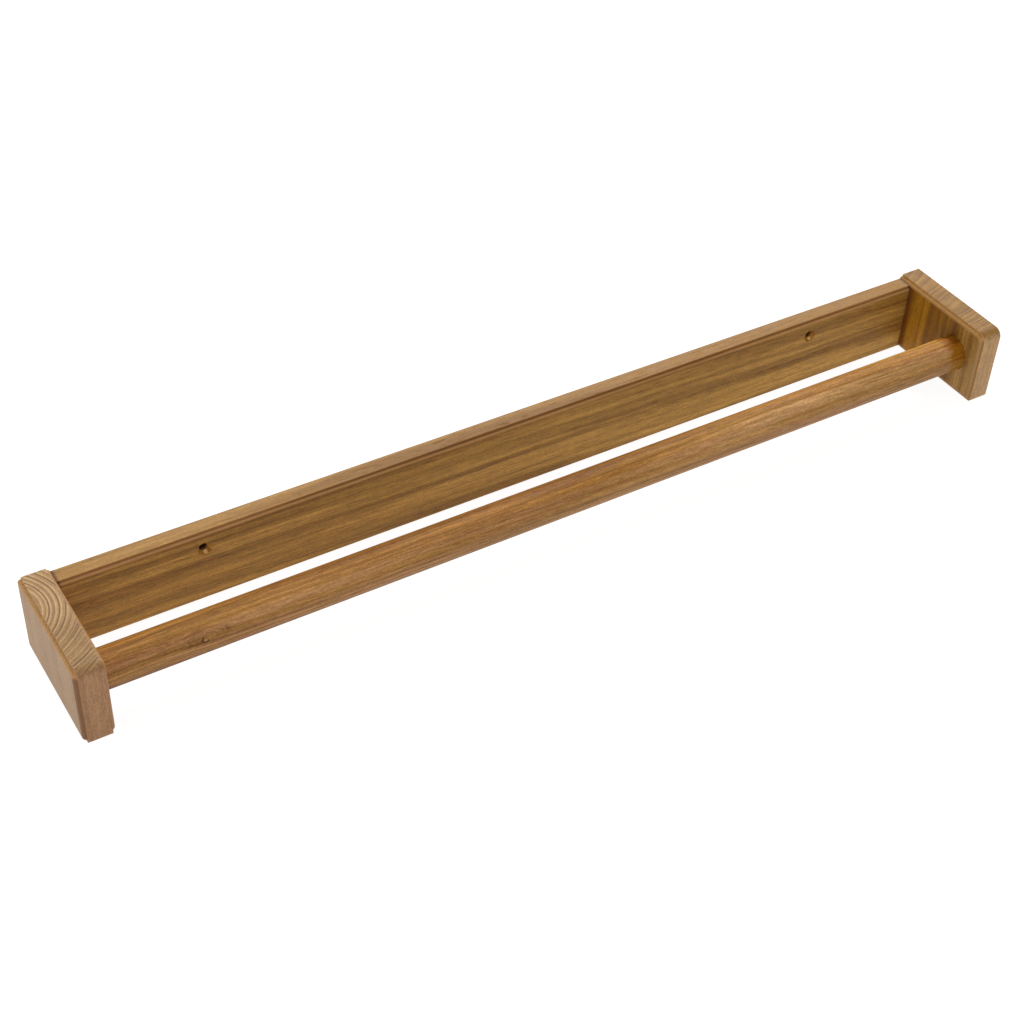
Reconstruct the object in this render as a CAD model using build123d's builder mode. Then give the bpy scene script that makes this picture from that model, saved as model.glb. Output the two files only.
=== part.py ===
"""A wall-mounted wooden holder: a round bar held between two end brackets on a back board.

Units are millimetres. The origin is on the wall plane, midway between the two screw holes.
+X runs along the holder, +Y points into the wall and +Z points up.
"""

from build123d import *
import os

os.makedirs("parts", exist_ok=True)

# Overall sizes
HOLDER_LENGTH = 600.0
BRACKET_DEPTH = 77.6
BRACKET_HEIGHT = 50.0
BRACKET_THICKNESS = 17.2
BOARD_THICKNESS = 11.0
BAR_DIAMETER = 22.0

# Heights above the underside of the brackets
SCREW_HEIGHT = 36.3
BOARD_UNDERSIDE_HEIGHT = 1.6
BOARD_TOP_HEIGHT = 47.6
BAR_HEIGHT = 25.8

# Distance from the wall to the centre of the bar
BAR_REACH = 56.9

# Countersunk holes for No. 8 wood screws, at the usual spacing of wall studs
SCREW_SPACING = 406.4
SCREW_HOLE_RADIUS = 2.25
SCREW_HEAD_RADIUS = 4.2
SCREW_HEAD_ANGLE = 82.0

# Moulded edges: a quarter round that starts a small step below the narrow face beside it
BRACKET_STEP = 1.2
BRACKET_ROUND_RADIUS = 2.0
BOARD_STEP = 1.5
BOARD_ROUND_RADIUS = 1.6
BRACKET_TOP_CORNER_RADIUS = 5.5
BRACKET_LOWER_CORNER_RADIUS = 1.6
BOARD_LOWER_EDGE_RADIUS = 0.8
WALL_EDGE_CHAMFER = 0.4

# Blind sockets for the ends of the bar, a running fit
SOCKET_DEPTH = 9.5
SOCKET_CLEARANCE = 0.08
BAR_END_GAP = 0.5
BAR_END_CHAMFER = 1.0

# Hidden joining pins, two in each end of the board
PIN_DIAMETER = 6.0
PIN_SPACING = 26.0
PIN_GLUE_GAP = 0.05
PIN_LENGTH_IN_BRACKET = 9.0
PIN_LENGTH_IN_BOARD = 19.0
PIN_HOLE_SPARE_DEPTH = 0.8
PIN_END_CHAMFER = 0.8
FLUTE_COUNT = 12
FLUTE_RADIUS = 0.3

# Positions worked out from the sizes above
UNDERSIDE_Z = -SCREW_HEIGHT
BRACKET_TOP_Z = UNDERSIDE_Z + BRACKET_HEIGHT
BOARD_BOTTOM_Z = UNDERSIDE_Z + BOARD_UNDERSIDE_HEIGHT
BOARD_TOP_Z = UNDERSIDE_Z + BOARD_TOP_HEIGHT
BAR_Z = UNDERSIDE_Z + BAR_HEIGHT
OUTER_X = HOLDER_LENGTH / 2
INNER_X = OUTER_X - BRACKET_THICKNESS
PIN_Y = -BOARD_THICKNESS / 2
PIN_MIDDLE_Z = (BOARD_BOTTOM_Z + BOARD_TOP_Z) / 2


def bracket_outline(inset):
    """Side view of a bracket, drawn in by inset along its top, front and underside but not at the wall."""
    front = -BRACKET_DEPTH + inset
    top = BRACKET_TOP_Z - inset
    bottom = UNDERSIDE_Z + inset
    with BuildSketch() as outline:
        with Locations((front, bottom)):
            Rectangle(-front, top - bottom, align=(Align.MIN, Align.MIN))
        top_corner = outline.vertices().sort_by_distance((front, top))[0]
        fillet(top_corner, radius=BRACKET_TOP_CORNER_RADIUS - inset)
        lower_corner = outline.vertices().sort_by_distance((front, bottom))[0]
        fillet(lower_corner, radius=BRACKET_LOWER_CORNER_RADIUS)
    return outline.sketch


full_outline = bracket_outline(0.0)
stepped_outline = bracket_outline(BRACKET_STEP)


def pin_plane(x, direction):
    """Plane across the joint at x, square to the pins, looking out along direction (+1 or -1 in X)."""
    return Plane(origin=(x, PIN_Y, PIN_MIDDLE_Z), x_dir=(0, 1, 0), z_dir=(direction, 0, 0))


# Right bracket: a stepped block with rounded edges, and a core that stands one step proud of it
with BuildPart() as right_end_bracket:
    with BuildSketch(Plane.YZ.offset(INNER_X)):
        add(stepped_outline)
    extrude(amount=BRACKET_THICKNESS)
    wide_faces = right_end_bracket.faces().filter_by(Axis.X)
    moulded_edges = wide_faces.edges().filter_by_position(Axis.Y, -BRACKET_DEPTH, -BRACKET_STEP)
    fillet(moulded_edges, radius=BRACKET_ROUND_RADIUS)
    with BuildSketch(Plane.YZ.offset(INNER_X + BRACKET_ROUND_RADIUS)):
        add(full_outline)
    extrude(amount=BRACKET_THICKNESS - 2 * BRACKET_ROUND_RADIUS)
    with Locations(Plane(origin=(INNER_X, -BAR_REACH, BAR_Z), z_dir=(-1, 0, 0))):
        Hole(radius=BAR_DIAMETER / 2 + SOCKET_CLEARANCE, depth=SOCKET_DEPTH)
    with Locations(pin_plane(INNER_X, -1)):
        with GridLocations(0, PIN_SPACING, 1, 2):
            Hole(
                radius=PIN_DIAMETER / 2 + PIN_GLUE_GAP,
                depth=PIN_LENGTH_IN_BRACKET + PIN_HOLE_SPARE_DEPTH,
            )

# Left bracket: the right one mirrored
with BuildPart() as left_end_bracket:
    mirror(right_end_bracket.part, about=Plane.YZ)

# Back board, butted between the brackets, with a moulded top front edge
with BuildPart() as back_board:
    with BuildSketch(Plane.YZ.offset(-INNER_X)):
        round_y = -BOARD_THICKNESS + BOARD_ROUND_RADIUS
        round_z = BOARD_TOP_Z - BOARD_STEP - BOARD_ROUND_RADIUS
        with BuildLine():
            Polyline(
                (round_y, BOARD_TOP_Z - BOARD_STEP),
                (round_y, BOARD_TOP_Z),
                (0, BOARD_TOP_Z),
                (0, BOARD_BOTTOM_Z),
                (-BOARD_THICKNESS, BOARD_BOTTOM_Z),
                (-BOARD_THICKNESS, round_z),
            )
            CenterArc((round_y, round_z), BOARD_ROUND_RADIUS, start_angle=90, arc_size=90)
        make_face()
    extrude(amount=2 * INNER_X)
    long_edges = back_board.edges().filter_by(Axis.X)
    lower_front_edge = long_edges.sort_by_distance((0, -BOARD_THICKNESS, BOARD_BOTTOM_Z))[0]
    fillet(lower_front_edge, radius=BOARD_LOWER_EDGE_RADIUS)
    upper_wall_edge = back_board.edges().filter_by(Axis.X).sort_by_distance((0, 0, BOARD_TOP_Z))[0]
    chamfer(upper_wall_edge, length=WALL_EDGE_CHAMFER)
    with Locations(Plane(origin=(0, -BOARD_THICKNESS, 0), x_dir=(1, 0, 0), z_dir=(0, -1, 0))):
        with GridLocations(SCREW_SPACING, 0, 2, 1):
            CounterSinkHole(
                radius=SCREW_HOLE_RADIUS,
                counter_sink_radius=SCREW_HEAD_RADIUS,
                counter_sink_angle=SCREW_HEAD_ANGLE,
            )
    for side in (-1, 1):
        with Locations(pin_plane(side * INNER_X, side)):
            with GridLocations(0, PIN_SPACING, 1, 2):
                Hole(
                    radius=PIN_DIAMETER / 2 + PIN_GLUE_GAP,
                    depth=PIN_LENGTH_IN_BOARD + PIN_HOLE_SPARE_DEPTH,
                )

# Round bar, with chamfered ends that stop short of the bottoms of the sockets
with BuildPart() as towel_bar:
    bar_half_length = INNER_X + SOCKET_DEPTH - BAR_END_GAP
    with BuildSketch(Plane.YZ.offset(-bar_half_length)):
        with Locations((-BAR_REACH, BAR_Z)):
            Circle(BAR_DIAMETER / 2)
    extrude(amount=2 * bar_half_length)
    chamfer(towel_bar.edges().filter_by(GeomType.CIRCLE), length=BAR_END_CHAMFER)

pieces = {
    "left_end_bracket": left_end_bracket,
    "right_end_bracket": right_end_bracket,
    "back_board": back_board,
    "towel_bar": towel_bar,
}

# Fluted joining pins, each reaching from a bracket into the end of the board
PIN_LENGTH = PIN_LENGTH_IN_BRACKET + PIN_LENGTH_IN_BOARD
for side_name, side in (("left", -1), ("right", 1)):
    for height_name, height in (("upper", PIN_SPACING / 2), ("lower", -PIN_SPACING / 2)):
        outer_end = pin_plane(side * (INNER_X + PIN_LENGTH_IN_BRACKET), side)
        with BuildPart() as dowel_pin:
            with BuildSketch(outer_end):
                with Locations((0, side * height)):
                    Circle(PIN_DIAMETER / 2)
            extrude(amount=-PIN_LENGTH)
            chamfer(dowel_pin.edges().filter_by(GeomType.CIRCLE), length=PIN_END_CHAMFER)
            with BuildSketch(outer_end):
                with Locations((0, side * height)):
                    with PolarLocations(PIN_DIAMETER / 2, FLUTE_COUNT):
                        Circle(FLUTE_RADIUS)
            extrude(amount=-PIN_LENGTH, mode=Mode.SUBTRACT)
        pieces[f"{side_name}_{height_name}_dowel_pin"] = dowel_pin

for name, piece in pieces.items():
    piece.part.label = name
    export_step(piece.part, f"parts/{name}.step")
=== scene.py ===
"""Looks of a long wall-mounted teak towel holder: two end brackets, a back board and a turning bar."""

import math
from dataclasses import dataclass
from typing import Callable

import bpy
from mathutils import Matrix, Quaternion, Vector


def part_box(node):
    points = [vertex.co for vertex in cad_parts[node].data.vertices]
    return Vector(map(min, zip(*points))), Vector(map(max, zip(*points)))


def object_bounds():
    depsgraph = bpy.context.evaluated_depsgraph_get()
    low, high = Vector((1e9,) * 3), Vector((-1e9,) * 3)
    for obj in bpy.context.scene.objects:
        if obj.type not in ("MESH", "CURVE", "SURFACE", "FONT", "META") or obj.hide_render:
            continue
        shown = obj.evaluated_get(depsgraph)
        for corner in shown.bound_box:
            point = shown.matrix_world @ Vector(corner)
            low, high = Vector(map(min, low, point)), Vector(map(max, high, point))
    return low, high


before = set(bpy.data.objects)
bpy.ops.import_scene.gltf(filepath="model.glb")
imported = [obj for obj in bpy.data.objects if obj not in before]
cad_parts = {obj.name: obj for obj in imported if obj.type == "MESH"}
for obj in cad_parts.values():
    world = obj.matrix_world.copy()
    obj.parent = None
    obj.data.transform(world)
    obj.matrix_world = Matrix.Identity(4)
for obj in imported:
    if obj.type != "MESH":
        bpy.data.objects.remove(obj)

cad_low, cad_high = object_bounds()
MILLIMETRES = 1000.0     # materials are drawn in millimetres of the part's own frame
X, Y, Z = range(3)

# Where the solids lie, in millimetres. The origin is midway between the two screw holes.
bracket_low, bracket_high = (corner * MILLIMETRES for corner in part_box("left_end_bracket"))
board_low, board_high = (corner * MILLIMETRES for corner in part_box("back_board"))
bar_low, bar_high = (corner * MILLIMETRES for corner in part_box("towel_bar"))
OUTER_FACE = -bracket_low.x
INNER_FACE = -bracket_high.x
BRACKET_FRONT = bracket_low.y
BRACKET_TOP = bracket_high.z
BRACKET_BOTTOM = bracket_low.z
BOARD_FRONT = board_low.y
BOARD_TOP = board_high.z
BAR_CENTRE = (bar_low + bar_high) / 2

# Sizes of the shapes that the materials follow, in millimetres
BRACKET_STEP = 1.2       # the moulded edges: a step, then a quarter round
BRACKET_ROUND = 2.0
BRACKET_CORNER = 5.5     # radius of a bracket's top front corner, seen from its side
BOARD_STEP = 1.5
BOARD_ROUND = 1.6
SCREW_X = 203.2          # the screw holes, either side of the middle
BORE_RADIUS = 2.25
SCREW_HEAD_RADIUS = 4.2


# ---------------------------------------------------------------- shader graphs


class Graph:
    """One material's node graph. Most methods add nodes and give back the last one's output."""

    def __init__(self, name):
        self.material = bpy.data.materials.new(name)
        self.material.use_nodes = True
        self.tree = self.material.node_tree
        self.tree.nodes.clear()

    def node(self, kind, **settings):
        made = self.tree.nodes.new("ShaderNode" + kind)
        for key, value in settings.items():
            setattr(made, key, value)
        return made

    def feed(self, socket, value):
        """Links a socket to another node's output, or sets it to a plain value."""
        if isinstance(value, bpy.types.NodeSocket):
            self.tree.links.new(value, socket)
        else:
            socket.default_value = value

    def math(self, operation, *values, clamp=False):
        made = self.node("Math", operation=operation, use_clamp=clamp)
        for socket, value in zip(made.inputs, values):
            self.feed(socket, value)
        return made.outputs[0]

    def vector(self, operation, *values, output=0):
        made = self.node("VectorMath", operation=operation)
        for socket, value in zip(made.inputs, values):
            self.feed(socket, value)
        return made.outputs[output]

    def combine(self, x, y, z):
        made = self.node("CombineXYZ")
        for socket, value in zip(made.inputs, (x, y, z)):
            self.feed(socket, value)
        return made.outputs[0]

    def separate(self, vector):
        made = self.node("SeparateXYZ")
        self.feed(made.inputs[0], vector)
        return made.outputs

    def scaled(self, vector, scale):
        return self.vector("MULTIPLY", vector, scale)

    def length(self, vector):
        return self.vector("LENGTH", vector, output="Value")

    def apart(self, value, other):
        """How far two numbers are apart, whichever is larger."""
        return self.math("ABSOLUTE", self.math("SUBTRACT", value, other))

    def product(self, first, *others):
        for other in others:
            first = self.math("MULTIPLY", first, other)
        return first

    def noise(self, vector, detail=2.0, roughness=0.5, output="Fac"):
        made = self.node("TexNoise")
        self.feed(made.inputs["Vector"], vector)
        made.inputs["Scale"].default_value = 1.0
        made.inputs["Detail"].default_value = detail
        made.inputs["Roughness"].default_value = roughness
        return made.outputs[output]

    def random(self, number):
        """A random number from 0 to 1 for each whole number."""
        made = self.node("TexWhiteNoise", noise_dimensions="1D")
        self.feed(made.inputs["W"], number)
        return made.outputs["Value"]

    def between(self, value, low, high, to_low=0.0, to_high=1.0):
        """Smooth step from to_low to to_high as value goes from low to high. low may be the larger."""
        made = self.node("MapRange", interpolation_type="SMOOTHSTEP")
        for socket, number in zip(made.inputs, (value, low, high, to_low, to_high)):
            self.feed(socket, number)
        return made.outputs[0]

    def fade(self, value, low, high, strength=1.0):
        """Full strength up to low, then a smooth step down to nothing at high."""
        return self.between(value, low, high, strength, 0.0)

    def ramp(self, factor, *stops):
        """A grey level that runs straight from stop to stop, each a position and a level."""
        made = self.node("ValToRGB")
        elements = made.color_ramp.elements
        while len(elements) < len(stops):
            elements.new(0.5)
        for element, (position, level) in zip(elements, stops):
            element.position = position
            element.color = (level, level, level, 1.0)
        self.feed(made.inputs[0], factor)
        return made.outputs[0]

    def mix(self, factor, first, second, blend="MIX"):
        made = self.node("Mix", data_type="RGBA", blend_type=blend)
        self.feed(made.inputs["Factor"], factor)
        for socket, colour in ((made.inputs[6], first), (made.inputs[7], second)):
            self.feed(socket, colour if isinstance(colour, bpy.types.NodeSocket) else (*colour, 1.0))
        return made.outputs[2]

    def tint(self, factor, colour, by):
        """The colour, multiplied by another as far as factor says."""
        return self.mix(factor, colour, by, "MULTIPLY")

    def place(self):
        """The shaded point in the piece's own frame, in millimetres."""
        return self.scaled(self.node("TexCoord").outputs["Object"], (MILLIMETRES,) * 3)

    def facing(self):
        """The surface's outward direction in the piece's own frame, as three numbers."""
        return self.separate(self.node("TexCoord").outputs["Normal"])


# ---------------------------------------------------------------- teak


def srgb(red, green, blue):
    """A colour given on the usual 0 to 255 scale, as the linear numbers that shaders use."""
    def linear(value):
        share = value / 255
        return share / 12.92 if share <= 0.04045 else ((share + 0.055) / 1.055) ** 2.4
    return tuple(linear(value) for value in (red, green, blue))


@dataclass
class Wood:
    """How one piece was cut from its log and how it is coloured. Lengths are in millimetres."""

    name: str
    along: int                           # the grain's axis
    pith: tuple                          # a point on the log's middle line
    ring: float                          # mean width of a growth ring
    drift: float                         # how far the grain wanders
    light: tuple                         # the plain wood
    band: tuple                          # its broad darker bands
    line: tuple                          # its ring lines and pores
    line_strength: float
    side_line_strength: float = None     # where the grain runs along the surface, if it differs
    end_light: tuple = None              # the plain wood's colour on end grain, if it differs
    accents: tuple = ()                  # rings that stand out: pairs of a radius and a strength
    slant: float = 0.0                   # how far the grain runs out per millimetre along it
    seed: float = 0.0
    band_strength: float = 0.8
    pore_strength: float = 0.5
    fibre_strength: float = 0.9
    speckle_strength: float = 0.85
    gloss: float = 0.3
    warp: Callable = None                # bends the grain: (graph, place) to place
    finish: Callable = None              # colours the made piece: (graph, colour, place) to colour


def stretched(graph, wood, place, along, across, offset):
    """The place scaled for a noise that changes slowly along the grain and fast across it."""
    scale = [across] * 3
    scale[wood.along] = along
    return graph.vector("ADD", graph.scaled(place, scale), (offset,) * 3)


def texture(graph, wood, place, along, across, shift, low, high, detail=2.0, roughness=0.5):
    """Noise from 0 to 1, with its changes per millimetre along and across the grain."""
    noise = graph.noise(stretched(graph, wood, place, along, across, wood.seed + shift), detail, roughness)
    return graph.between(noise, low, high)


def place_in_log(graph, wood):
    """The shaded point, after the grain's bends and its run-out."""
    place = graph.place()
    if wood.warp:
        place = wood.warp(graph, place)
    if wood.slant:
        run_out = [0.0, 0.0, 0.0]
        run_out[Y if wood.along == Z else Z] = graph.product(graph.separate(place)[wood.along], wood.slant)
        place = graph.vector("ADD", place, graph.combine(*run_out))
    return place


def wandered(graph, wood, place):
    """The place moved by the slow wander of the grain, a few millimetres over a hand's width."""
    wander = graph.noise(stretched(graph, wood, place, 0.009, 0.03, wood.seed), output="Color")
    wander = graph.vector("SUBTRACT", wander, (0.5, 0.5, 0.5))
    return graph.vector("ADD", place, graph.scaled(wander, (2 * wood.drift,) * 3))


def growth_rings(graph, wood, grown):
    """Dark ring lines, the pale lines beside them, and how far into its ring the point is, 0 to 1."""
    across = [1.0, 1.0, 1.0]
    across[wood.along] = 0.0
    radius = graph.length(graph.scaled(graph.vector("SUBTRACT", grown, wood.pith), across))
    uneven = graph.noise(graph.combine(graph.product(radius, 0.16), wood.seed, 0.5), detail=1.0)
    count = graph.math("MULTIPLY_ADD", radius, 1 / wood.ring, graph.product(uneven, 3.0))
    inside = graph.math("FRACT", count)
    late_wood = graph.ramp(inside, (0.0, 1.0), (0.14, 0.3), (0.26, 0.0),
                           (0.60, 0.0), (0.86, 0.3), (1.0, 1.0))
    early_wood = graph.ramp(inside, (0.0, 0.0), (0.22, 0.3), (0.36, 1.0), (0.62, 0.1), (1.0, 0.0))
    strength = graph.between(graph.random(graph.math("FLOOR", count)), 0.0, 1.0, 0.25, 1.0)
    dark = graph.product(late_wood, strength)
    pale = graph.product(early_wood, strength)
    pale_gap = 0.95          # from the middle of an accent's dark line to that of its pale line
    for accent, share in wood.accents:
        past = graph.math("SUBTRACT", radius, accent)
        accent_line = graph.fade(graph.math("ABSOLUTE", past), 0.10, 0.58, strength=1.4 * share)
        dark = graph.math("MAXIMUM", dark, accent_line)
        pale = graph.math("MAXIMUM", pale, graph.fade(graph.apart(past, pale_gap), 0.1, 0.6))
    return dark, pale, inside


def crowded_pores(graph, wood, place, inside, bands, side_grain):
    """Short dark dashes. They crowd early in each ring and in the bands, and hardly show on end grain."""
    pores = texture(graph, wood, place, along=0.10, across=1.05, shift=1.9, low=0.54, high=0.70, detail=1.0)
    return graph.product(pores, graph.between(inside, 0.0, 0.8, 1.0, 0.45),
                         graph.math("MULTIPLY_ADD", bands, 0.5, 0.5),
                         graph.math("MULTIPLY_ADD", side_grain, 0.8, 0.2))


def ring_colour(graph, wood, bands, dark, pale, end_grain):
    """Plain wood with its broad bands, pale lines and dark ring lines."""
    plain = graph.mix(end_grain, wood.light, wood.end_light) if wood.end_light else wood.light
    colour = graph.mix(graph.product(bands, wood.band_strength), plain, wood.band)
    lift = graph.product(pale, graph.math("MULTIPLY_ADD", end_grain, 0.75, 0.2))
    colour = graph.tint(lift, colour, (1.45, 1.5, 1.6))
    line_strength = wood.line_strength
    if wood.side_line_strength is not None:
        line_strength = graph.between(end_grain, 0.0, 1.0, wood.side_line_strength, wood.line_strength)
    return graph.mix(graph.math("MULTIPLY", dark, line_strength, clamp=True), colour, wood.line)


def fine_grain(graph, wood, colour, fibres, hairs, grit, side_grain):
    """The colour streaked by long fibres, by short hairs and by grit, mostly along the grain's sides."""
    amount = graph.math("MULTIPLY_ADD", side_grain, 0.7 * wood.fibre_strength, 0.3 * wood.fibre_strength)
    colour = graph.tint(amount, colour, graph.mix(fibres, (0.70, 0.66, 0.56), (1.18, 1.20, 1.26)))
    amount = graph.math("MULTIPLY_ADD", side_grain, wood.speckle_strength - 0.3, 0.3)
    colour = graph.tint(amount, colour, graph.mix(hairs, (0.80, 0.79, 0.74), (1.17, 1.18, 1.22)))
    return graph.tint(1.0, colour, graph.mix(grit, (0.86, 0.85, 0.82), (1.14, 1.14, 1.16)))


def satin_surface(graph, wood, colour, fibres, hairs, pores, dark):
    """Oiled wood: fibres stand a little proud, pores and ring lines lie lower and are duller."""
    relief = graph.math("SUBTRACT", graph.product(fibres, 0.45), pores)
    relief = graph.math("MULTIPLY_ADD", dark, -0.5, relief)
    bump = graph.node("Bump")
    bump.inputs["Strength"].default_value = 0.35
    bump.inputs["Distance"].default_value = 0.00012
    graph.feed(bump.inputs["Height"], relief)
    sheen = graph.between(hairs, 0.0, 1.0, 0.5, 0.62)
    shader = graph.node("BsdfPrincipled")
    shader.inputs["IOR"].default_value = 1.47
    shader.inputs["Specular IOR Level"].default_value = wood.gloss
    graph.feed(shader.inputs["Base Color"], colour)
    graph.feed(shader.inputs["Roughness"], graph.math("MULTIPLY_ADD", pores, 0.2, sheen))
    graph.feed(shader.inputs["Normal"], bump.outputs[0])
    graph.feed(graph.node("OutputMaterial").inputs["Surface"], shader.outputs[0])


def timber(wood):
    """A material for solid wood: rings round a pith line, long fibres, pores and slow changes of tone."""
    graph = Graph(wood.name)
    place = place_in_log(graph, wood)
    grown = wandered(graph, wood, place)
    end_grain = graph.between(graph.math("ABSOLUTE", graph.facing()[wood.along]), 0.55, 0.95)
    side_grain = graph.math("SUBTRACT", 1.0, end_grain)
    dark, pale, inside = growth_rings(graph, wood, grown)

    bands = texture(graph, wood, grown, along=0.0022, across=0.11, shift=3.7, low=0.40, high=0.60)
    fibres = texture(graph, wood, grown, along=0.010, across=0.62, shift=9.1, low=0.32, high=0.68,
                     detail=3.0, roughness=0.65)
    hairs = texture(graph, wood, place, along=0.11, across=1.6, shift=5.3, low=0.28, high=0.72,
                    roughness=0.6)
    grit = texture(graph, wood, place, along=0.6, across=1.3, shift=6.1, low=0.25, high=0.75, detail=1.0)
    pores = crowded_pores(graph, wood, place, inside, bands, side_grain)

    colour = ring_colour(graph, wood, bands, dark, pale, end_grain)
    colour = fine_grain(graph, wood, colour, fibres, hairs, grit, side_grain)
    colour = graph.mix(graph.product(pores, wood.pore_strength), colour, wood.line)
    if wood.finish:
        colour = wood.finish(graph, colour, graph.place())
    satin_surface(graph, wood, colour, fibres, hairs, pores, dark)
    return graph.material


# ---------------------------------------------------------------- moulded edges


def on_face(graph, coordinate, face):
    """1 on the flat face at that coordinate, 0 elsewhere."""
    return graph.math("LESS_THAN", graph.apart(coordinate, face), 0.1)


def moulding(graph, colour, from_wide, from_narrow, step, round_radius, wall, crest, plain):
    """Tints a moulded edge with painted light and shade: its little step with the colour wall, its quarter
    round with crest.

    from_wide and from_narrow are the distances behind the two faces that the moulding runs between.
    plain is the wood's own even tone, which half hides the ring lines there.
    """
    slack = 0.05
    cut = graph.product(graph.math("LESS_THAN", from_wide, round_radius + slack),
                        graph.math("LESS_THAN", from_narrow, step + round_radius + slack),
                        graph.math("GREATER_THAN", from_narrow, 0.03))
    on_round = graph.between(from_narrow, step - 0.05, step + 0.15)
    evened = graph.mix(0.6, colour, plain)
    return graph.mix(cut, colour, graph.tint(1.0, evened, graph.mix(on_round, wall, crest)))


def rounded_inset(graph, from_front, from_top):
    """How far a point lies inside a bracket's side outline, along its front, round corner and top."""
    across = graph.math("SUBTRACT", BRACKET_CORNER, from_front)
    up = graph.math("SUBTRACT", BRACKET_CORNER, from_top)
    past = graph.length(graph.combine(
        graph.math("MAXIMUM", across, 0.0), graph.math("MAXIMUM", up, 0.0), 0.0))
    within = graph.math("MINIMUM", graph.math("MAXIMUM", across, up), 0.0)
    return graph.math("SUBTRACT", graph.math("SUBTRACT", BRACKET_CORNER, past), within)


def bracket_moulding(graph, colour, place, wide_face, top_tints, front_tints, plain):
    """The moulding round one wide face of a bracket. Each pair of tints, painted light and shade, is for the
    step and the round.
    """
    x, y, z = graph.separate(place)
    from_top = graph.apart(z, BRACKET_TOP)
    inset = graph.math("MINIMUM", rounded_inset(graph, graph.apart(y, BRACKET_FRONT), from_top),
                       graph.apart(z, BRACKET_BOTTOM))
    at_top = graph.fade(from_top, BRACKET_STEP + BRACKET_ROUND, BRACKET_CORNER)
    wall, crest = (graph.mix(at_top, front, top) for front, top in zip(front_tints, top_tints))
    return moulding(graph, colour, graph.apart(x, wide_face), inset, BRACKET_STEP, BRACKET_ROUND,
                    wall, crest, plain)


# ---------------------------------------------------------------- end brackets


def left_bracket_finish(graph, colour, place):
    """An outer face greyed by painted reflection, front faces darkened by painted shade, a browner front
    half of the top, and mouldings tinted with painted light and shade.
    """
    x, y = graph.separate(place)[:Z]
    facing = graph.facing()
    plain = srgb(176, 132, 88)
    # Painted reflection of the white room greys the outer face
    colour = graph.tint(on_face(graph, x, -OUTER_FACE), colour, (0.90, 0.94, 1.0))
    # Painted shade darkens the front faces
    colour = graph.tint(graph.fade(facing[Y], -0.95, -0.5), colour, (0.76, 0.68, 0.62))
    browner = graph.mix(graph.between(y, -30.0, -52.0), (0.76, 0.75, 0.72), (0.60, 0.565, 0.46))
    colour = graph.tint(graph.between(facing[Z], 0.5, 0.95), colour, browner)
    # Painted light lifts the outer top edge's step and round; painted shade darkens the outer front edge's
    # step and round
    colour = bracket_moulding(graph, colour, place, -OUTER_FACE, plain=plain,
                              top_tints=((1.5, 1.6, 1.62), (1.25, 1.2, 0.95)),
                              front_tints=((0.78, 0.68, 0.58), (0.50, 0.40, 0.27)))
    # Painted shade dulls the inner edge's round
    return bracket_moulding(graph, colour, place, -INNER_FACE, plain=plain,
                            top_tints=((1.0, 1.0, 1.0), (0.85, 0.80, 0.62)),
                            front_tints=((1.0, 1.0, 1.0), (0.85, 0.8, 0.8)))


def right_inner_face(graph, colour, place):
    """Golden and olive stripes with painted shade that deepens towards the board, one dark stripe, and a
    dark glue line under painted corner shade where the board meets it.
    """
    x, y = graph.separate(place)[:Z]
    inner = on_face(graph, x, INNER_FACE)
    # Painted shade darkens the inner face over its golden colour, deepest and most saturated towards the
    # board
    golden = graph.mix(graph.between(y, -68.0, -44.0), (0.69, 0.665, 0.61), (0.72, 0.58, 0.05))
    colour = graph.tint(inner, colour, golden)
    stripes = graph.noise(graph.scaled(place, (0.3, 0.12, 0.006)), 1.0, 0.6)
    stripes = graph.mix(graph.between(stripes, 0.36, 0.62), (0.70, 0.60, 0.40), (1.28, 1.28, 1.05))
    colour = graph.tint(inner, colour, stripes)
    dark_stripe = graph.product(inner, graph.fade(graph.apart(y, -45.0), 0.6, 2.4, strength=0.6))
    colour = graph.mix(dark_stripe, colour, srgb(88, 56, 14))
    # Painted shade in the corner against the board, over a dark glue line
    glue_line_and_shade = graph.product(inner, graph.between(y, BOARD_FRONT - 6.0, BOARD_FRONT - 1.0), 0.75)
    return graph.mix(glue_line_and_shade, colour, srgb(100, 44, 8))


def right_bracket_finish(graph, colour, place):
    """A golden inner face deepened by painted shade, a front greyed by painted reflection, a browner top,
    and mouldings tinted with painted light and shade.
    """
    facing = graph.facing()
    plain = srgb(172, 130, 76)
    colour = right_inner_face(graph, colour, place)
    colour = graph.tint(graph.between(facing[Z], 0.5, 0.95), colour, (0.60, 0.50, 0.22))
    # Painted reflection of the white room lifts and greys the front faces
    colour = graph.tint(graph.fade(facing[Y], -0.95, -0.5), colour, (1.10, 1.18, 1.68))
    # Painted shade dulls the outer edge's round
    colour = bracket_moulding(graph, colour, place, OUTER_FACE, plain=plain,
                              top_tints=((1.0, 1.0, 1.0), (1.0, 0.95, 0.85)),
                              front_tints=((1.0, 1.0, 1.0), (0.9, 0.85, 0.8)))
    # Painted light lifts the inner top edge's step and round; painted shade darkens the inner front edge
    return bracket_moulding(graph, colour, place, INNER_FACE, plain=plain,
                            top_tints=((1.4, 1.4, 1.3), (1.2, 1.15, 1.1)),
                            front_tints=((0.9, 0.8, 0.62), (0.80, 0.80, 0.84)))


# ---------------------------------------------------------------- back board


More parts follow.
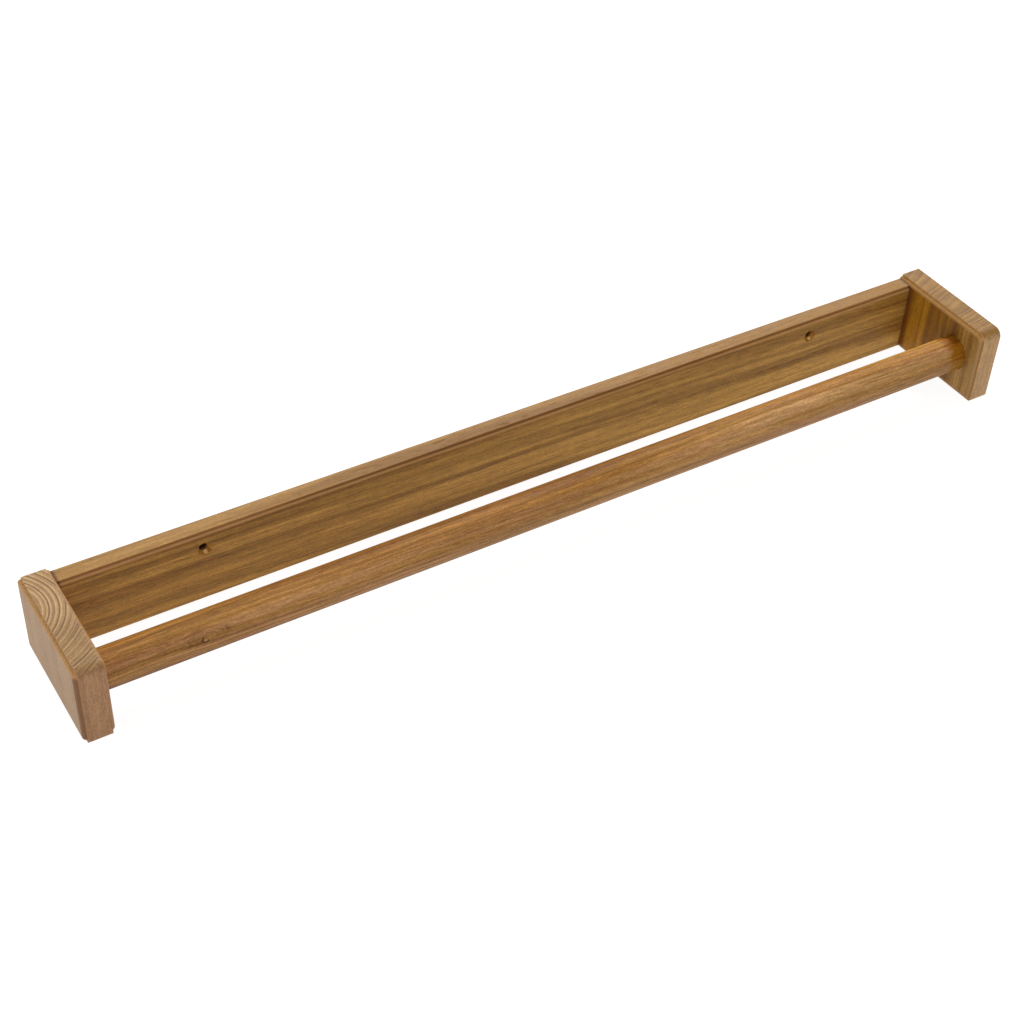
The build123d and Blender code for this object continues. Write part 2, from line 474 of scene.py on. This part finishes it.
def screw_hole(graph, colour, place, centre_x):
    """A golden countersink with a painted highlight low on its side, and a bore whose painted shade deepens
    with its depth.
    """
    x, y, z = graph.separate(place)
    away_x = graph.math("SUBTRACT", x, centre_x)
    away = graph.length(graph.combine(away_x, z, 0.0))
    # Painted highlight low on the countersink's side
    glint = graph.combine(graph.math("SUBTRACT", away_x, 0.7), graph.math("ADD", z, 2.8), 0.0)
    glint = graph.fade(graph.length(glint), 0.4, 1.5)
    cone = graph.fade(away, SCREW_HEAD_RADIUS - 0.1, SCREW_HEAD_RADIUS)
    colour = graph.tint(cone, colour, graph.mix(glint, (0.90, 0.80, 0.50), (1.8, 2.2, 4.4)))
    # Painted shade inside the bore, darker deeper in
    bore = graph.fade(away, BORE_RADIUS + 0.05, BORE_RADIUS + 0.25)
    deep = graph.between(y, BOARD_FRONT + 2.6, BOARD_FRONT + 4.6)
    return graph.mix(bore, colour, graph.mix(deep, srgb(150, 104, 50), srgb(60, 20, 10)))


def board_moulding(graph, colour, place):
    """The board's moulded top edge, lifted by painted light, with a painted shade line in the crease below
    it.
    """
    from_top = graph.math("SUBTRACT", BOARD_TOP, graph.separate(place)[Z])
    from_front = graph.math("SUBTRACT", graph.separate(place)[Y], BOARD_FRONT)
    # Painted light lifts the step, and a painted highlight lies on the round
    colour = moulding(graph, colour, from_front, from_top, BOARD_STEP, BOARD_ROUND,
                      wall=(1.05, 1.0, 1.4), crest=(1.5, 1.55, 2.6), plain=srgb(160, 114, 52))
    # Painted shade in the crease where the round meets the front
    from_line = graph.apart(from_top, BOARD_STEP + BOARD_ROUND - 0.1)
    return graph.tint(graph.fade(from_line, 0.3, 1.0), colour, (0.68, 0.64, 0.55))


def board_finish(graph, colour, place):
    """A paler, more even top, upright faces darkened by painted shade and streaked, painted shade at the
    lower left, and dark glue lines under painted corner shade at the ends.
    """
    x, _, z = graph.separate(place)
    facing = graph.facing()
    colour = board_moulding(graph, colour, place)

    top = graph.between(facing[Z], 0.7, 0.98)
    colour = graph.mix(graph.product(top, 0.3), colour, srgb(165, 118, 49))
    colour = graph.tint(top, colour, graph.mix(
        graph.between(x, -250.0, 150.0), (0.92, 0.98, 1.58), (0.76, 0.72, 0.70)))

    # Painted shade darkens the front and back faces
    upright = graph.between(graph.math("ABSOLUTE", facing[Y]), 0.7, 0.98)
    colour = graph.tint(upright, colour, graph.mix(
        graph.between(x, -250.0, 200.0), (0.81, 0.78, 0.70), (0.85, 0.88, 0.86)))
    streaks = graph.noise(graph.scaled(place, (0.0055, 0.2, 0.21)), 2.0, 0.55)
    colour = graph.tint(upright, colour, graph.mix(
        graph.between(streaks, 0.45, 0.60), (0.93, 0.92, 0.88), (1.20, 1.22, 1.36)))
    # Painted shade on the lower left
    low_left_shade = graph.product(graph.between(z, -6.0, -22.0), graph.between(x, 180.0, -120.0))
    colour = graph.tint(low_left_shade, colour, (0.82, 0.78, 0.72))

    for centre_x in (-SCREW_X, SCREW_X):
        colour = screw_hole(graph, colour, place, centre_x)
    # Painted shade in the corners at the board's ends, over dark glue lines
    end_glue_and_shade = graph.between(graph.math("ABSOLUTE", x), INNER_FACE - 2.2, INNER_FACE - 0.2)
    return graph.mix(graph.product(end_glue_and_shade, 0.75), colour, srgb(78, 44, 14))


# ---------------------------------------------------------------- towel bar

KNOT = Vector((-228.0, BAR_CENTRE.y - 10.2, BAR_CENTRE.z + 4.0))
MIRROR_TURN = 120.0      # past this angle the bar's colour zones repeat backwards


def knot_distance(graph, place, stretch, shift=(0.0, 0.0, 0.0)):
    """Distance from a point beside the knot, counted shorter along the bar."""
    away = graph.vector("SUBTRACT", place, tuple(KNOT + Vector(shift)))
    return graph.length(graph.scaled(away, (1 / stretch, 1.0, 1.0)))


def bend_round_knot(graph, place):
    """The fibres part and close again round the knot."""
    pull = graph.between(knot_distance(graph, place, 2.6, (2.0, 0.0, 1.5)), 0.0, 9.0, -0.62, 0.0)
    away = graph.vector("SUBTRACT", place, tuple(KNOT))
    return graph.vector("ADD", place, graph.scaled(away, graph.combine(0.0, pull, pull)))


def knot_mark(graph, colour, place):
    """A small open ring with a pale heart, a dark smear beside it, and a swirl above it."""
    wobble = graph.math("SUBTRACT", graph.noise(graph.scaled(place, (0.35, 0.6, 0.6))), 0.5)
    swirl = graph.math("MULTIPLY_ADD", wobble, 1.5, knot_distance(graph, place, 2.8, (2.0, 0.0, 1.8)))
    for radius in (2.0, 2.9, 4.0):
        loop = graph.fade(graph.apart(swirl, radius), 0.05, 0.45, strength=0.4)
        colour = graph.mix(loop, colour, srgb(112, 66, 34))
    smear = graph.math("MULTIPLY_ADD", wobble, 2.0, knot_distance(graph, place, 4.5, (-6.0, 0.0, -0.6)))
    colour = graph.mix(graph.fade(smear, 0.2, 1.5, strength=0.5), colour, srgb(104, 58, 22))
    reach = graph.math("MULTIPLY_ADD", wobble, 0.8, knot_distance(graph, place, 1.25))
    colour = graph.mix(graph.fade(reach, 0.6, 1.1, strength=0.6), colour, srgb(176, 132, 88))
    rim = graph.product(graph.between(reach, 0.8, 1.2), graph.fade(reach, 1.5, 2.1))
    # The ring is open at its upper right
    x, _, z = graph.separate(place)
    closed = graph.fade(graph.math("ADD", x, z), KNOT.x + KNOT.z + 0.4, KNOT.x + KNOT.z + 2.0, strength=0.75)
    return graph.mix(graph.product(rim, closed), colour, srgb(66, 34, 12))


def turn_round_bar(graph, place):
    """Degrees round the bar: 0 along its front, 90 along its top. It has no jump, because it mirrors."""
    _, y, z = graph.separate(place)
    mirror = math.radians(MIRROR_TURN)
    around = graph.vector("NORMALIZE", graph.combine(
        graph.math("SUBTRACT", BAR_CENTRE.y, y), graph.math("SUBTRACT", z, BAR_CENTRE.z), 0.0))
    cosine = graph.vector("DOT_PRODUCT", around, (math.cos(mirror), math.sin(mirror), 0.0), output="Value")
    return graph.math("SUBTRACT", MIRROR_TURN, graph.math("DEGREES", graph.math("ARCCOSINE", cosine)))


def upper_bar_zones(graph, colour, place, turn):
    """A golden top, pinker below it at the left and paler at the right, and a thin dark line between."""
    x = graph.separate(place)[X]
    right = graph.between(x, 20.0, 170.0)
    pinker = graph.product(graph.between(x, -80.0, -190.0), graph.between(turn, 24.0, 36.0),
                           graph.fade(turn, 52.0, 64.0))
    colour = graph.tint(pinker, colour, (1.20, 1.22, 1.6))
    paler = graph.product(right, graph.between(turn, 0.0, 40.0))
    colour = graph.tint(paler, colour, (1.48, 1.68, 2.0))

    # The golden top ends at a wavy edge that climbs towards the left end
    wave = graph.noise(graph.scaled(place, (0.012, 0.0, 0.0)), detail=1.0)
    edge = graph.math("MULTIPLY_ADD", graph.math("SUBTRACT", wave, 0.5), 8.0,
                      graph.between(x, -270.0, -130.0, 80.0, 71.0))
    past_edge = graph.math("SUBTRACT", turn, edge)
    tawny = graph.product(graph.between(x, -90.0, 10.0, 0.55, 0.85), graph.between(turn, 42.0, 60.0),
                          graph.math("SUBTRACT", 1.0, right))
    golden = graph.math("MAXIMUM", tawny, graph.between(past_edge, -2.0, 3.0))
    colour = graph.tint(golden, colour, (0.80, 0.71, 0.36))
    dark_line = graph.product(graph.fade(graph.math("ABSOLUTE", past_edge), 0.8, 3.2, strength=0.5),
                              graph.between(x, 130.0, 20.0))
    return graph.mix(dark_line, colour, srgb(112, 68, 24))


def lower_bar_zones(graph, colour, place, turn):
    """A darker underside from painted shade, with a darker belt above it."""
    x = graph.separate(place)[X]
    # Painted shade darkens the underside
    browner = graph.mix(graph.between(x, -220.0, -60.0), (0.78, 0.77, 0.80), (0.80, 0.83, 0.94))
    colour = graph.tint(graph.between(turn, 30.0, -8.0), colour, browner)
    belt = graph.product(graph.between(turn, 12.0, 18.0), graph.fade(turn, 30.0, 38.0))
    return graph.tint(belt, colour, (0.90, 0.88, 0.76))


def bar_finish(graph, colour, place):
    """Zones of colour along the bar and round it, a painted shadow of the right bracket with a frayed edge
    at the right end, and the knot.
    """
    turn = turn_round_bar(graph, place)
    patches = graph.noise(graph.scaled(place, (0.008, 0.09, 0.09)))
    colour = graph.tint(graph.between(patches, 0.42, 0.58), colour, (1.04, 1.02, 1.2))
    colour = upper_bar_zones(graph, colour, place, turn)
    colour = lower_bar_zones(graph, colour, place, turn)
    # Painted shadow cast by the right bracket on the bar's end, with a frayed edge
    fray = graph.math("SUBTRACT", graph.noise(graph.scaled(place, (0.05, 0.8, 0.8))), 0.5)
    frayed_x = graph.math("MULTIPLY_ADD", fray, 14.0, graph.separate(place)[X])
    bracket_shadow = graph.between(frayed_x, INNER_FACE - 13.0, INNER_FACE - 9.0)
    darker = graph.mix(graph.between(turn, 22.0, 4.0), (0.72, 0.53, 0.06), (0.86, 0.74, 0.22))
    return knot_mark(graph, graph.tint(bracket_shadow, colour, darker), place)


# ---------------------------------------------------------------- the pieces' materials

finishes = {
    "left_end_bracket": timber(Wood(
        "teak_left_bracket", along=Z, pith=(-319.0, -21.0, 0.0), ring=2.9, drift=0.8, seed=2.0,
        light=srgb(182, 140, 96), band=srgb(170, 126, 86), line=srgb(104, 68, 38),
        end_light=srgb(196, 156, 104), line_strength=0.6, side_line_strength=0.12, band_strength=0.35,
        pore_strength=0.25, fibre_strength=0.25, speckle_strength=0.7, gloss=0.45,
        accents=((18.5, 0.3), (22.5, 0.5), (26.5, 0.9), (29.0, 0.4), (31.5, 0.9), (34.6, 0.9), (37.2, 0.4),
                 (40.0, 0.5), (42.6, 0.5), (44.6, 0.5), (46.6, 0.4), (49.0, 0.3), (55.0, 1.0), (61.0, 0.5)),
        finish=left_bracket_finish)),
    "right_end_bracket": timber(Wood(
        "teak_right_bracket", along=Z, pith=(274.0, 25.0, 0.0), ring=6.0, drift=2.8, seed=14.0,
        light=srgb(182, 140, 82), band=srgb(154, 112, 56), line=srgb(104, 68, 30),
        end_light=srgb(190, 150, 98), line_strength=0.42, side_line_strength=0.15, band_strength=0.4,
        pore_strength=0.3, fibre_strength=0.38, speckle_strength=0.8,
        accents=((50.4, 0.6), (58.0, 0.6), (67.0, 0.6), (78.1, 0.9), (83.5, 0.9), (90.0, 0.9)),
        finish=right_bracket_finish)),
    "back_board": timber(Wood(
        "teak_board", along=X, pith=(0.0, 70.0, -95.0), ring=3.4, drift=2.2, slant=0.022, seed=7.0,
        light=srgb(186, 138, 62), band=srgb(146, 100, 35), line=srgb(92, 56, 16),
        line_strength=0.4, band_strength=0.9, fibre_strength=0.32, speckle_strength=1.0, gloss=0.25,
        finish=board_finish)),
    "towel_bar": timber(Wood(
        "teak_bar", along=X, pith=(0.0, -30.0, -52.0), ring=3.0, drift=2.4, slant=0.012, seed=21.0,
        light=srgb(180, 132, 76), band=srgb(152, 104, 56), line=srgb(100, 60, 24),
        line_strength=0.6, fibre_strength=0.7, speckle_strength=1.0, gloss=0.15,
        warp=bend_round_knot, finish=bar_finish)),
}
pin_wood = timber(Wood(
    "beech_pin", along=X, pith=(0.0, 12.0, -40.0), ring=1.6, drift=0.6, seed=31.0,
    light=srgb(214, 182, 140), band=srgb(200, 166, 124), line=srgb(170, 132, 92), line_strength=0.4))
for name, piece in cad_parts.items():
    for slot in piece.material_slots:
        slot.material = finishes.get(name, pin_wood)


# ---------------------------------------------------------------- floor, light and camera

centre = (cad_low + cad_high) / 2


def pale_floor():
    """A plain white table under the object's lowest face."""
    half_width = 6.0
    corners = [(-half_width, -half_width), (half_width, -half_width),
               (half_width, half_width), (-half_width, half_width)]
    mesh = bpy.data.meshes.new("floor")
    mesh.from_pydata([(x, y, cad_low.z) for x, y in corners], [], [(0, 1, 2, 3)])
    floor = bpy.data.objects.new("floor", mesh)
    bpy.context.scene.collection.objects.link(floor)
    graph = Graph("white_table")
    shader = graph.node("BsdfPrincipled")
    shader.inputs["Base Color"].default_value = (0.2, 0.2, 0.2, 1.0)
    shader.inputs["Roughness"].default_value = 0.9
    shader.inputs["Specular IOR Level"].default_value = 0.1
    shader.inputs["Emission Color"].default_value = (1.0, 1.0, 1.0, 1.0)
    shader.inputs["Emission Strength"].default_value = 0.92
    graph.feed(graph.node("OutputMaterial").inputs["Surface"], shader.outputs[0])
    mesh.materials.append(graph.material)


def outward(azimuth, elevation):
    """The direction from the object to a viewer. Azimuth 0 stands in front, at -Y; 90 stands at +X."""
    a, e = math.radians(azimuth), math.radians(elevation)
    return Vector((math.sin(a) * math.cos(e), -math.cos(a) * math.cos(e), math.sin(e)))


def softbox(name, azimuth, elevation, distance, size, watts):
    """A square soft light that looks at the object."""
    light = bpy.data.lights.new(name, "AREA")
    light.shape = "SQUARE"
    light.size = size
    light.energy = watts
    lamp = bpy.data.objects.new(name, light)
    bpy.context.scene.collection.objects.link(lamp)
    back = outward(azimuth, elevation)
    lamp.location = centre + back * distance
    lamp.rotation_mode = "QUATERNION"
    lamp.rotation_quaternion = (-back).to_track_quat("-Z", "Y")


def surroundings(strength):
    """An even white room."""
    world = bpy.data.worlds.new("white_room")
    world.use_nodes = True
    background = world.node_tree.nodes["Background"]
    background.inputs["Color"].default_value = (1.0, 1.0, 1.0, 1.0)
    background.inputs["Strength"].default_value = strength
    bpy.context.scene.world = world


def camera():
    """Looks down along the holder from its left end, rolled a little."""
    distance = 1.0328
    roll = math.radians(2.86)
    aim = centre + Vector((-0.0281, 0.0011, -0.0160))
    data = bpy.data.cameras.new("camera")
    data.sensor_width = 36.0
    data.lens = 63.84
    body = bpy.data.objects.new("camera", data)
    bpy.context.scene.collection.objects.link(body)
    back = outward(azimuth=-33.11, elevation=41.13)
    body.location = aim + back * distance
    body.rotation_mode = "QUATERNION"
    body.rotation_quaternion = (-back).to_track_quat("-Z", "Y") @ Quaternion((0, 0, 1), roll)
    bpy.context.scene.camera = body


pale_floor()
surroundings(strength=0.5)
softbox("key_light", azimuth=140.0, elevation=45.0, distance=6.0, size=1.3, watts=264.0)
softbox("fill_light", azimuth=-50.0, elevation=55.0, distance=1.8, size=1.2, watts=3.0)
camera()

view = bpy.context.scene.view_settings
view.view_transform = "Standard"
view.look = "None"
